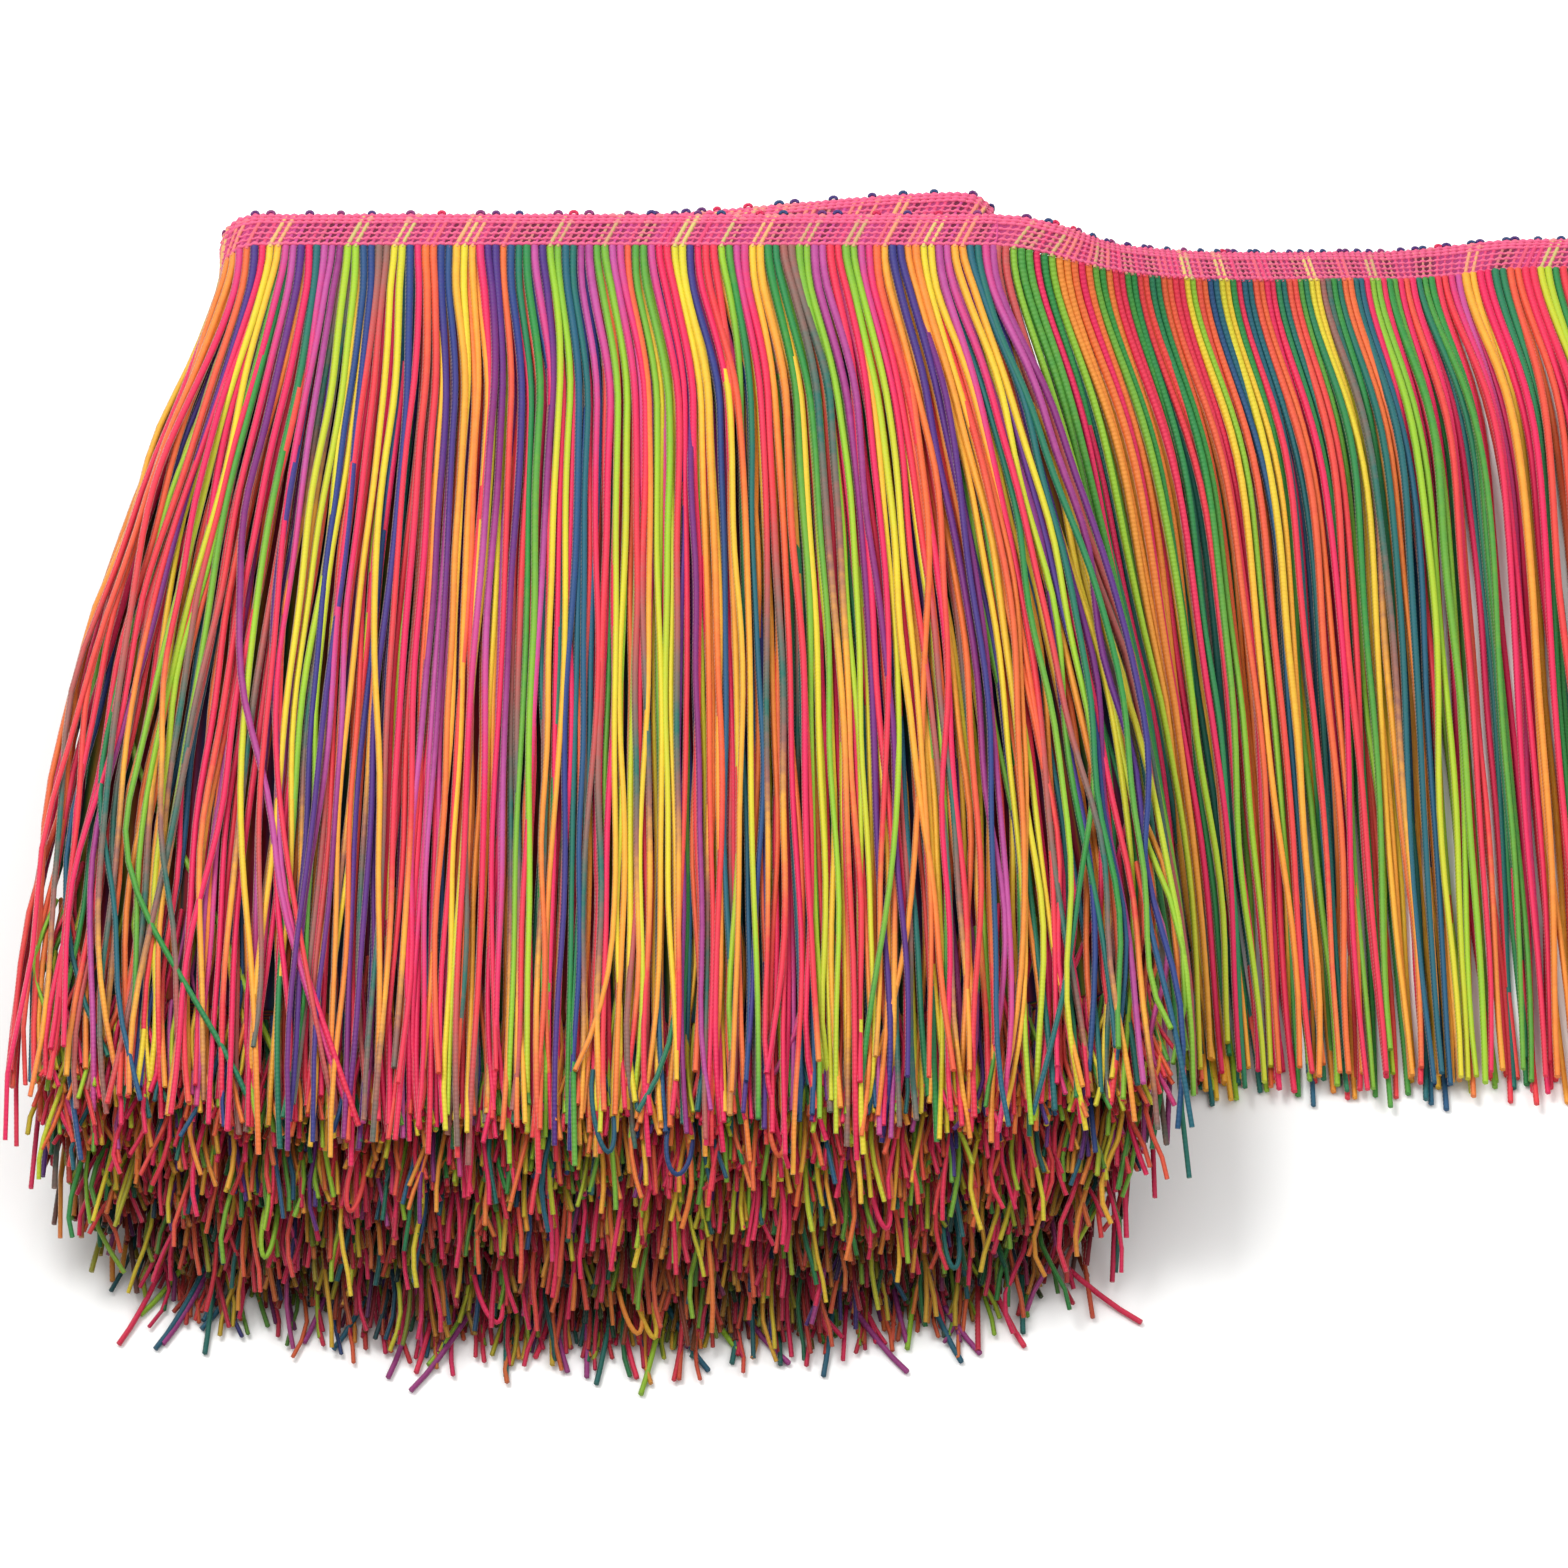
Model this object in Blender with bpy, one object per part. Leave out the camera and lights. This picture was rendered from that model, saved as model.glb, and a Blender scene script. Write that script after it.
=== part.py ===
"""Roll of tassel fringe lying on a table, with its loose end drawn off to the right.

Metres, +Z up. X runs along the heading, the cut ends of the strands point to -Y, and the
table is z = 0. The fringe is wound flat, so its heading makes a flat spiral at the back, and
its strands lie in stacked layers that fan out to the sides and thin towards the front.
Everything is laid out with y = 0 where the top layer's strands leave the heading, and is
moved at the end, so that the origin is the middle of the bottom of the bounding box.
"""

import math
import random

import bmesh
import bpy
from mathutils import Matrix, Vector

# The trimming
STRAND_LENGTH = 0.260
HEADING_WIDTH = 0.010
TAPE_THICKNESS = 0.0016
ROOT_STRIP = 0.0024
PIECE_GAP = 0.0004

# The wound roll
ROLL_WIDTH = 0.186
ROLL_HEIGHT = 0.062
HALF_WIDTH = ROLL_WIDTH / 2
TURNS = 6
TURN_GAP = 0.00035
CORNER_RADIUS = 0.0085
BOTTOM_CORNER_RADIUS = 0.0050
LEAN = 0.016
UNEVEN_EDGE = 0.0011

# How the wound strands lie at their cut ends
FRONT_HEIGHT = 0.053
SIDE_DROP = 0.10
FAN_STRAIGHT = 0.109
FAN_SIDES = 0.031
FAN_RIGHT = 0.004
FOOT_SHARE = 0.80
TOP_REACH = 0.249
BOTTOM_REACH = 0.279
SIDE_SHORTENING = 0.060
FAN_QUICKNESS = 2.2

# Locks of the wound strands, each standing for a cluster of real ones
LOCK_COLUMNS = 26
LOCK_ROWS = 7
LOCK_PLANES = (0.034, 0.080, 0.138, 0.200)
LOCK_GAP_AT_ROOT = 0.0005
LOCK_GAP_AT_END = 0.0018
LOCK_TIP = 0.012
LOCK_TIP_GAP = 0.0034
LOCK_JITTER = 0.006

# The loose end, drawn off the top of the roll and down to the table
TAIL_LENGTH = 0.152
TAIL_DROP_START = 0.004
TAIL_DROP_RUN = 0.118
TAIL_BACK = 0.0424
TAIL_BACK_START = 0.012
TAIL_BACK_RUN = 0.122
TAIL_LOCKS = 46
TAIL_LOCK_WIDTH = 0.0019
TAIL_LOCK_THICKNESS = 0.0021
TAIL_LOCK_INSET = 0.16
TAIL_SHARES = (0.13, 0.32, 0.56, 0.80, 1.0)
TAIL_REACH = 0.213
TAIL_END_LEFT = 0.1455
TAIL_END_RIGHT = 0.2600
TAIL_JITTER = 0.007

HEADING_PINK = (0.86, 0.09, 0.24)
STRAND_CORAL = (0.80, 0.20, 0.16)
TAIL_CORAL = (0.84, 0.34, 0.16)


def soft_ramp(share, rounding=0.22):
    """0 to 1 along a straight ramp whose two ends are rounded off."""
    share = min(max(share, 0.0), 1.0)
    if share > 0.5:
        return 1.0 - soft_ramp(1.0 - share, rounding)
    slope = 1.0 / (1.0 - rounding)
    if share < rounding:
        return slope * share * share / (2 * rounding)
    return slope * (share - rounding / 2)


def fanned(depth):
    """How far the fan has opened at this depth from the heading: 0 at it, 1 at the ends."""
    share = min(max(depth / STRAND_LENGTH, 0.0), 1.0)
    return 1.0 - (1.0 - share) ** FAN_QUICKNESS


def rounded_away(distance, radius):
    """What a rounded corner takes off one side, at this distance along the other side."""
    inside = min(max(radius - distance, 0.0), radius)
    return radius - math.sqrt(radius * radius - inside * inside)


def wound_point(across, up, depth):
    """The x and z of a point in the wound strands. across is -1 to 1, up is 0 to 1."""
    shoulder = rounded_away(HALF_WIDTH * (1 - abs(across)), CORNER_RADIUS)
    root_z = (ROLL_HEIGHT - shoulder) * up
    root_x = (HALF_WIDTH - rounded_away(root_z, BOTTOM_CORNER_RADIUS)) * across
    crown_x = FAN_STRAIGHT * across + FAN_SIDES * across**3 + FAN_RIGHT * (1 - across**2)
    end_x = crown_x * (1 - (1 - FOOT_SHARE) * (1 - up) ** 1.6)
    end_z = FRONT_HEIGHT * (1 - SIDE_DROP * across**4) * up
    share = fanned(depth)
    return root_x + (end_x - root_x) * share, root_z + (end_z - root_z) * share


def root_y(z):
    """Where strands at this height leave the heading. The winding leans, its top further back."""
    return -LEAN * (1 - z / ROLL_HEIGHT)


def wound_root(across, up):
    """The point where a strand of the roll leaves the heading."""
    y = 0.0
    for _ in range(8):
        x, z = wound_point(across, up, -y)
        y = root_y(z)
    return Vector((x, y, z))


def end_depth(across, up):
    """How far in front of the top layer's heading a wound strand ends."""
    reach = BOTTOM_REACH + (TOP_REACH - BOTTOM_REACH) * up**1.3
    return reach * (1 - SIDE_SHORTENING * abs(across) ** 3)


def add_ring(verts, points):
    """Adds points to the mesh, and gives back their numbers."""
    first = len(verts)
    verts.extend(points)
    return list(range(first, len(verts)))


def join_rings(faces, ring, following):
    """A wall of four-sided faces between two rings of as many points."""
    for i in range(len(ring)):
        j = (i + 1) % len(ring)
        faces.append((ring[i], ring[j], following[j], following[i]))


def plain_material(name, colour):
    made = bpy.data.materials.new(name)
    made.use_nodes = True
    shader = made.node_tree.nodes["Principled BSDF"]
    shader.inputs["Base Color"].default_value = (*colour, 1)
    shader.inputs["Roughness"].default_value = 0.75
    shader.inputs["Metallic"].default_value = 0.0
    return made


def add_object(name, verts, faces, colour):
    mesh = bpy.data.meshes.new(name)
    mesh.from_pydata([tuple(v) for v in verts], [], faces)
    bm = bmesh.new()
    bm.from_mesh(mesh)
    bmesh.ops.recalc_face_normals(bm, faces=bm.faces[:])
    bm.to_mesh(mesh)
    bm.free()
    mesh.materials.append(plain_material(name + "_yarn", colour))
    made = bpy.data.objects.new(name, mesh)
    bpy.context.scene.collection.objects.link(made)
    return made


def lock_ring(column, row, gap, depth):
    """The four corners of a lock at this depth, or at its root where depth is None.

    A lock is its cell of the layout drawn in by the gap, but not where it lies on the table.
    """
    left = -1 + 2 * column / LOCK_COLUMNS
    right = left + 2 / LOCK_COLUMNS
    low, high = row / LOCK_ROWS, (row + 1) / LOCK_ROWS
    cell = []
    for across, up in ((left, low), (right, low), (right, high), (left, high)):
        if depth is None:
            cell.append(wound_root(across, up))
        else:
            x, z = wound_point(across, up, depth)
            cell.append(Vector((x, -depth, z)))
    in_across = gap / 2 * LOCK_COLUMNS / ROLL_WIDTH
    in_up = gap / 2 * LOCK_ROWS / ROLL_HEIGHT
    in_low = in_up if row > 0 or depth is None else 0
    ring = []
    for share_across, share_up in (
        (in_across, in_low),
        (1 - in_across, in_low),
        (1 - in_across, 1 - in_up),
        (in_across, 1 - in_up),
    ):
        low_point = cell[0].lerp(cell[1], share_across)
        high_point = cell[3].lerp(cell[2], share_across)
        ring.append(low_point.lerp(high_point, share_up))
    return ring


def add_wound_fringe():
    """Stacked locks that grow out of one thin strip, which lies against the wound heading."""
    chance = random.Random(5)
    verts, faces = [], []
    grid = []
    for row in range(LOCK_ROWS + 1):
        line = [
            wound_root(-1 + 2 * column / LOCK_COLUMNS, row / LOCK_ROWS)
            for column in range(LOCK_COLUMNS + 1)
        ]
        grid.append(add_ring(verts, line))
    rim = grid[0] + [line[-1] for line in grid[1:-1]]
    rim += grid[-1][::-1] + [line[0] for line in grid[-2:0:-1]]
    back = add_ring(verts, [verts[i] + Vector((0, ROOT_STRIP, 0)) for i in rim])
    join_rings(faces, rim, back)
    faces.append(tuple(back))
    for row in range(LOCK_ROWS):
        for column in range(LOCK_COLUMNS):
            ring = [
                grid[row][column],
                grid[row][column + 1],
                grid[row + 1][column + 1],
                grid[row + 1][column],
            ]
            across = -1 + (2 * column + 1) / LOCK_COLUMNS
            end = end_depth(across, (row + 0.5) / LOCK_ROWS)
            end += chance.uniform(-LOCK_JITTER, LOCK_JITTER)
            if chance.random() < 0.05:
                end += LOCK_JITTER
            steps = [(None, LOCK_GAP_AT_ROOT)]
            for depth in LOCK_PLANES:
                opened = LOCK_GAP_AT_END - LOCK_GAP_AT_ROOT
                steps.append((depth, LOCK_GAP_AT_ROOT + opened * depth / STRAND_LENGTH))
            steps += [(end - LOCK_TIP, LOCK_GAP_AT_END), (end, LOCK_TIP_GAP)]
            for depth, gap in steps:
                following = add_ring(verts, lock_ring(column, row, gap, depth))
                join_rings(faces, ring, following)
                ring = following
            faces.append(tuple(ring))
    return add_object("wound_fringe", verts, faces, STRAND_CORAL)


def corner_radius(turn, top):
    """The outside corners of the winding are round, and they sharpen turn by turn inwards."""
    outside = CORNER_RADIUS if top else BOTTOM_CORNER_RADIUS
    return max(outside - 0.0042 * turn, 0.0009)


def add_wound_heading():
    """A thick band in a flat spiral, each of its turns standing for several real ones."""
    chance = random.Random(11)
    pitch = (ROLL_HEIGHT + TURN_GAP) / (2 * TURNS)
    thick = pitch - TURN_GAP
    # Each station is a point of the outer wall and a point of the inner wall, as (x, z)
    stations = [((HALF_WIDTH, ROLL_HEIGHT), (HALF_WIDTH, ROLL_HEIGHT - thick))]

    def run_to(x):
        (outer_x, outer_z), (_, inner_z) = stations[-1]
        for share in (0.25, 0.5, 0.75):
            along = outer_x + (x - outer_x) * share
            stations.append(((along, outer_z), (along, inner_z)))

    def turn_corner(x, z, inward_x, inward_z, turn, level_first):
        """Round the corner whose outer point is x, z. The inner wall lies inward of it."""
        top = inward_z < 0
        inner = (x + inward_x * thick, z + inward_z * thick)
        innermost = turn >= TURNS - 1
        angles = (0.5,) if innermost else (0.0, 0.5, 1.0)
        for share in angles:
            pair = []
            for (corner_x, corner_z), deeper in (((x, z), 0), (inner, 1)):
                radius = 0.0 if innermost else corner_radius(turn + deeper, top)
                turned = share if level_first else 1 - share
                angle = turned * math.pi / 2
                pair.append(
                    (
                        corner_x + inward_x * radius * (1 - math.sin(angle)),
                        corner_z + inward_z * radius * (1 - math.cos(angle)),
                    )
                )
            stations.append(tuple(pair))

    for turn in range(TURNS):
        inset = turn * pitch
        left, right = -HALF_WIDTH + inset, HALF_WIDTH - inset
        low, high = inset, ROLL_HEIGHT - inset
        run_to(left)
        turn_corner(left, high, 1, -1, turn, True)
        turn_corner(left, low, 1, 1, turn, False)
        run_to(right)
        if turn < TURNS - 1:
            turn_corner(right, low, -1, 1, turn, True)
            turn_corner(right, high - pitch, -1, -1, turn, False)
    stations.append(((right, low), (right, low + thick)))

    verts, faces = [], []
    ring = None
    for outer, inner in stations:
        uneven = chance.uniform(-UNEVEN_EDGE, 0)
        following = []
        for (x, z), offset in (
            (outer, ROOT_STRIP + PIECE_GAP),
            (outer, HEADING_WIDTH + uneven),
            (inner, HEADING_WIDTH + uneven),
            (inner, ROOT_STRIP + PIECE_GAP),
        ):
            following.append(Vector((x, root_y(z) + offset, z)))
        following = add_ring(verts, following)
        if ring is None:
            faces.append(tuple(following))
        else:
            join_rings(faces, ring, following)
        ring = following
    faces.append(tuple(ring))
    return add_object("wound_heading", verts, faces, HEADING_PINK)


def tail_frame(along):
    """The front top edge of the loose end at this x from the roll, and its two directions."""

    def edge(distance):
        down = soft_ramp((distance - TAIL_DROP_START) / TAIL_DROP_RUN)
        back = soft_ramp((distance - TAIL_BACK_START) / TAIL_BACK_RUN)
        return Vector(
            (
                HALF_WIDTH + PIECE_GAP + distance,
                TAIL_BACK * back,
                ROLL_HEIGHT - (ROLL_HEIGHT - TAPE_THICKNESS) * down,
            )
        )

    step = 0.001
    tangent = (edge(along + step) - edge(along - step)).normalized()
    forward = tangent.cross(Vector((0, 0, 1))).normalized()
    return edge(along), forward, forward.cross(tangent)


def tail_section(along, first, last):
    """The four corners of the loose tape's section, from first to last behind its front."""
    point, forward, above = tail_frame(along)
    below = above * TAPE_THICKNESS
    near, far = point - forward * first, point - forward * last
    return [near, near - below, far - below, far]


def add_loose_heading():
    chance = random.Random(23)
    verts, faces = [], []
    ring = None
    for station in range(TAIL_LOCKS + 1):
        along = TAIL_LENGTH * station / TAIL_LOCKS
        back_edge = HEADING_WIDTH - chance.uniform(0, UNEVEN_EDGE) * 0.6
        section = tail_section(along, ROOT_STRIP + PIECE_GAP, back_edge)
        following = add_ring(verts, section)
        if ring is None:
            faces.append(tuple(following))
        else:
            join_rings(faces, ring, following)
        ring = following
    faces.append(tuple(ring))
    return add_object("loose_heading", verts, faces, HEADING_PINK)


def tail_lock_rings(start, end, fall, longer):
    """Rings of one loose lock, from its root to its cut end on the table."""
    rings = []
    for share in TAIL_SHARES:
        opened = 1 - (1 - share) ** FAN_QUICKNESS
        x = start.x + (end.x - start.x) * opened
        y = start.y + (end.y - start.y) * share
        z = (start.z - TAPE_THICKNESS / 2) * (1 - share) ** fall
        size = 1.0
        if share == 1.0:
            size = 0.6
            y -= longer
        left = x - TAIL_LOCK_WIDTH * size / 2
        right = x + TAIL_LOCK_WIDTH * size / 2
        high = z + TAIL_LOCK_THICKNESS * size
        corners = ((left, z), (right, z), (right, high), (left, high))
        rings.append([Vector((corner_x, y, corner_z)) for corner_x, corner_z in corners])
    return rings


def add_loose_fringe():
    """Locks that grow out of a strip, which runs along the front edge of the loose tape."""
    chance = random.Random(37)
    verts, faces = [], []
    sections = []
    for station in range(TAIL_LOCKS + 1):
        along = TAIL_LENGTH * station / TAIL_LOCKS
        sections.append(add_ring(verts, tail_section(along, 0, ROOT_STRIP)))
    faces.append(tuple(sections[0]))
    faces.append(tuple(sections[-1]))
    for lock in range(TAIL_LOCKS):
        one, other = sections[lock], sections[lock + 1]
        for corner in (1, 2, 3):
            following = (corner + 1) % 4
            faces.append((one[corner], other[corner], other[following], one[following]))
        ring = [one[1], other[1], other[0], one[0]]
        corners = [verts[i] for i in ring]
        middle = sum(corners, Vector()) / 4
        root = [corner.lerp(middle, TAIL_LOCK_INSET) for corner in corners]
        share = lock / (TAIL_LOCKS - 1)
        end_x = TAIL_END_LEFT + (TAIL_END_RIGHT - TAIL_END_LEFT) * share
        end = Vector((end_x, -TAIL_REACH, 0))
        fall = 2.2 + 3.2 * (1 - math.exp(-lock / 7))
        longer = chance.uniform(-TAIL_JITTER, TAIL_JITTER)
        for points in [root] + tail_lock_rings(middle, end, fall, longer):
            following = add_ring(verts, points)
            join_rings(faces, ring, following)
            ring = following
        faces.append(tuple(ring))
    return add_object("loose_fringe", verts, faces, TAIL_CORAL)


for existing in list(bpy.data.objects):
    bpy.data.objects.remove(existing, do_unlink=True)

pieces = [
    add_wound_heading(),
    add_wound_fringe(),
    add_loose_heading(),
    add_loose_fringe(),
]

corners = [vert.co for piece in pieces for vert in piece.data.vertices]
lowest = Vector([min(corner[axis] for corner in corners) for axis in range(3)])
highest = Vector([max(corner[axis] for corner in corners) for axis in range(3)])
centre = (lowest + highest) / 2
to_origin = Matrix.Translation((-centre.x, -centre.y, -lowest.z))
for piece in pieces:
    piece.data.transform(to_origin)
    piece.data.update()
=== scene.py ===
# %% [markdown]
# # A roll of tassel fringe, made from yarn
#
# Tassel fringe is a narrow knitted heading with thousands of long loose cords laid into it.
# Here about nine metres of it are wound flat and lie on a table, with the loose end drawn off
# to the right. The cords are space-dyed: one yarn changes colour every few centimetres.
#
# The fringe is built the way it is made: first the path of the heading, then the places where
# cords leave it, then the cords themselves, and the stitches last.

# %% Load the frame
import math

import bpy
import numpy as np
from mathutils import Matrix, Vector


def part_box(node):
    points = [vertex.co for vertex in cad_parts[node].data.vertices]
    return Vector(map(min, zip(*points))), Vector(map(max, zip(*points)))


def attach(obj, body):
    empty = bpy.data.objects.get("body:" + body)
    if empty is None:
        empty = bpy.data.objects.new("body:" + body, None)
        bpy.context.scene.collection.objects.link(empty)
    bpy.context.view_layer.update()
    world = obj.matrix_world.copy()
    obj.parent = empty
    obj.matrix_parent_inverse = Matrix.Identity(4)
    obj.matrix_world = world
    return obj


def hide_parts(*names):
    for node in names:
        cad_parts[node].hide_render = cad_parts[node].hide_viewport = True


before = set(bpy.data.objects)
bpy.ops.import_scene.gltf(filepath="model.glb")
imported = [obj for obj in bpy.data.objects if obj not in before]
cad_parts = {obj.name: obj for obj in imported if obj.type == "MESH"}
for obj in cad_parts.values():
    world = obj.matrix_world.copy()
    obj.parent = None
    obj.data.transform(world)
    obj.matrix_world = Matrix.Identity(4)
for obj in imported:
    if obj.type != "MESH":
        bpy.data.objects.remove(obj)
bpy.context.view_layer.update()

# %% [markdown]
# ## Sizes
#
# A maker measures a fringe by its heading and by the length of its cords. The rest follows from
# how many turns are wound and how far the cords fan out. Sizes are in metres, with y = 0 where
# the top layer's cords leave the heading, x = 0 at the middle of the roll and z = 0 on the
# table. `ORIGIN` is where that point lies in the frame.

# %% Sizes of the trimming and of the roll
MM = 0.001
CORD_LENGTH = 260 * MM
CORD_RADIUS = 0.85 * MM
CORD_PITCH = 1.86 * MM
HEADING_WIDTH = 9.6 * MM
TAPE_THICKNESS = 0.9 * MM

ROLL_WIDTH = 186 * MM
ROLL_HEIGHT = 62 * MM
HALF_WIDTH = ROLL_WIDTH / 2
TURNS = 25
TURN_PITCH = ROLL_HEIGHT / (2 * TURNS)
CORNER_RADIUS = 8.5 * MM
BOTTOM_CORNER_RADIUS = 5.0 * MM
LEAN = 16 * MM

FRONT_HEIGHT = 53 * MM
SIDE_DROP = 0.10
FAN_STRAIGHT = 109 * MM
FAN_SIDES = 26.3 * MM
FAN_RIGHT = 4 * MM
FOOT_SHARE = 0.77
TOP_REACH = 249 * MM
BOTTOM_REACH = 282 * MM
SIDE_SHORTENING = 0.060
FAN_QUICKNESS = 2.2

TAIL_START = HALF_WIDTH - 0.7 * MM
TAIL_LENGTH = 152 * MM
TAIL_DROP_START = 4 * MM
TAIL_DROP_RUN = 118 * MM
TAIL_BACK = 42.4 * MM
TAIL_BACK_START = 7 * MM
TAIL_BACK_RUN = 122 * MM
TAIL_REACH = 206 * MM
TAIL_DRIFT = 13 * MM
TAIL_DRIFT_AT_ROLL = 31.5 * MM

heading_low, heading_high = (Vector(corner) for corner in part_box("wound_heading"))
FRONT_OF_LOWEST_TURN = 2.8 * MM - LEAN
middle_x = (heading_low.x + heading_high.x) / 2
ORIGIN = Vector((middle_x, heading_low.y - FRONT_OF_LOWEST_TURN, 0.0))

# %% [markdown]
# ## Camera, floor and light
#
# The photograph looks down on the fringe from in front, a little over 50 degrees above the
# table, through a long lens. The floor is a wide pale sheet. One large soft lamp stands on the
# left, a weaker one on the right, and a bright plain sky fills the shadows. The first functions
# here are small helpers for every node tree and object below.

# %% Camera, floor and light
VIEW_ELEVATION = math.radians(51.4)
VIEW_DISTANCE = 3.0
LENS_MM = 294
LOOK_AT = Vector((42 * MM, -139.5 * MM, 30 * MM))
FLOOR_REACH = 6.0
FLOOR_COLOUR = (0.90, 0.90, 0.89, 1)
KEY_POWER = 18
FILL_POWER = 6
SKY_AT_HORIZON = 0.30
SKY_OVERHEAD = 0.95


def feed(tree, socket, value):
    """Fills an input socket, by a link from another socket or with a plain value."""
    if isinstance(value, bpy.types.NodeSocket):
        tree.links.new(value, socket)
    else:
        socket.default_value = value


def wired(tree, kind, inputs, **settings):
    """A new node with its settings made and its inputs fed."""
    node = tree.nodes.new(kind)
    for label, value in settings.items():
        setattr(node, label, value)
    for label, value in inputs.items():
        feed(tree, node.inputs[label], value)
    return node


def new_group(kind, name, inputs, outputs):
    """A node group with its named sockets, and its two end nodes."""
    group = bpy.data.node_groups.new(name, kind)
    for direction, sockets in (("INPUT", inputs), ("OUTPUT", outputs)):
        for label, sort, value in sockets:
            sort = "NodeSocket" + sort
            socket = group.interface.new_socket(label, in_out=direction, socket_type=sort)
            if value is not None:
                socket.default_value = value
    return group, group.nodes.new("NodeGroupInput"), group.nodes.new("NodeGroupOutput")


def calculated(tree, operation, *values):
    """The result of a math node on these sockets or numbers."""
    node = wired(tree, "ShaderNodeMath", dict(enumerate(values)), operation=operation)
    return node.outputs[0]


def in_scene(name, data):
    """A new object that shows this data, linked into the scene."""
    made = bpy.data.objects.new(name, data)
    bpy.context.scene.collection.objects.link(made)
    return made


def place_camera():
    data = bpy.data.cameras.new("camera")
    data.lens = LENS_MM
    data.sensor_width = 36
    data.clip_end = 20
    camera = in_scene("camera", data)
    towards = Vector((0, -math.cos(VIEW_ELEVATION), math.sin(VIEW_ELEVATION)))
    camera.location = ORIGIN + LOOK_AT + towards * VIEW_DISTANCE
    camera.rotation_euler = (math.pi / 2 - VIEW_ELEVATION, 0, 0)
    bpy.context.scene.camera = camera


def soft_lamp(name, place, target, size, power):
    data = bpy.data.lights.new(name, "AREA")
    data.shape = "DISK"
    data.size = size
    data.energy = power
    lamp = in_scene(name, data)
    lamp.location = ORIGIN + Vector(place)
    lamp.rotation_euler = (Vector(target) - Vector(place)).to_track_quat("-Z", "Y").to_euler()


def add_floor():
    mesh = bpy.data.meshes.new("floor")
    signs = ((-1, -1), (1, -1), (1, 1), (-1, 1))
    corners = [(x * FLOOR_REACH, y * FLOOR_REACH, 0) for x, y in signs]
    mesh.from_pydata(corners, [], [(0, 1, 2, 3)])
    floor = in_scene("floor", mesh)
    paper = bpy.data.materials.new("pale_paper")
    paper.use_nodes = True
    shader = paper.node_tree.nodes["Principled BSDF"]
    shader.inputs["Base Color"].default_value = FLOOR_COLOUR
    shader.inputs["Roughness"].default_value = 0.9
    mesh.materials.append(paper)


place_camera()
add_floor()
soft_lamp("key_lamp", (-0.6, 0.35, 1.5), (0, -0.1, 0), 0.8, KEY_POWER)
soft_lamp("fill_lamp", (1.1, 0.2, 1.4), (0.05, -0.1, 0), 1.2, FILL_POWER)


def add_sky():
    """Bright overhead and dim near the horizon, so that the cut ends stand in soft shade."""
    sky = bpy.data.worlds.new("soft_box_sky")
    sky.use_nodes = True
    tree = sky.node_tree
    where = wired(tree, "ShaderNodeTexCoord", {})
    height = wired(tree, "ShaderNodeSeparateXYZ", {0: where.outputs["Generated"]})
    limits = {"From Min": 0.05, "From Max": 0.85}
    limits.update({"To Min": SKY_AT_HORIZON, "To Max": SKY_OVERHEAD})
    ramp = wired(tree, "ShaderNodeMapRange", {"Value": height.outputs["Z"], **limits})
    background = tree.nodes["Background"]
    feed(tree, background.inputs["Color"], (1, 1, 1, 1))
    feed(tree, background.inputs["Strength"], ramp.outputs["Result"])
    bpy.context.scene.world = sky


add_sky()
bpy.context.scene.view_settings.view_transform = "Standard"

# %% [markdown]
# ## How the wound cords lie
#
# A cord of the roll has a place in the stack: `across` runs from -1 at the left fold to 1 at
# the right, and `up` from 0 at the table to 1 at the top. At the heading the stack is a
# rectangle with round corners. At the cut ends it is wider, because the cords splay, and a
# little lower. Between the two, the fan opens quickly at first and then slowly. One function
# for all cords keeps neighbours beside each other.

# %% The fan of the wound cords


def rounded_away(distance, radius):
    """What a rounded corner takes off one side, at this distance along the other side."""
    inside = np.clip(radius - distance, 0.0, radius)
    return radius - np.sqrt(radius * radius - inside * inside)


def fanned(depth):
    share = np.clip(depth / CORD_LENGTH, 0.0, 1.0)
    return 1.0 - (1.0 - share) ** FAN_QUICKNESS


def wound_xz(across, up, depth):
    """The x and z of cords at a depth in front of the top layer's heading."""
    shoulder = rounded_away(HALF_WIDTH * (1 - np.abs(across)), CORNER_RADIUS)
    root_z = (ROLL_HEIGHT - shoulder) * up
    root_x = (HALF_WIDTH - rounded_away(root_z, BOTTOM_CORNER_RADIUS)) * across
    crown_x = FAN_STRAIGHT * across + FAN_SIDES * across**3 + FAN_RIGHT * (1 - across**2)
    end_x = crown_x * (1 - (1 - FOOT_SHARE) * (1 - up) ** 1.6)
    end_z = FRONT_HEIGHT * (1 - SIDE_DROP * across**4) * up
    share = fanned(depth)
    return root_x + (end_x - root_x) * share, root_z + (end_z - root_z) * share


def root_y(z):
    """The winding leans: its lower turns lie further forward."""
    return -LEAN * (1 - z / ROLL_HEIGHT)


def end_depth(across, up):
    reach = BOTTOM_REACH + (TOP_REACH - BOTTOM_REACH) * up**1.3
    return reach * (1 - SIDE_SHORTENING * np.abs(across) ** 3)


def smooth_step(value):
    value = np.clip(value, 0.0, 1.0)
    return value * value * (3 - 2 * value)


# %% [markdown]
# ## The path of the heading
#
# The heading comes up from the table on the right, runs over the top of the roll to the left
# fold, goes down, back underneath and up again, and so on inwards for 25 turns. `winding`
# follows it as a line of points, and `resample` puts one point on it for each cord.

# %% The wound heading's path


def quarter(centre_x, centre_z, radius, start):
    """Four points of a quarter turn, anticlockwise from this angle in degrees."""
    angles = np.radians(start + np.linspace(0, 90, 4))
    return np.stack(
        [centre_x + radius * np.cos(angles), centre_z + radius * np.sin(angles)], axis=1
    )


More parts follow.
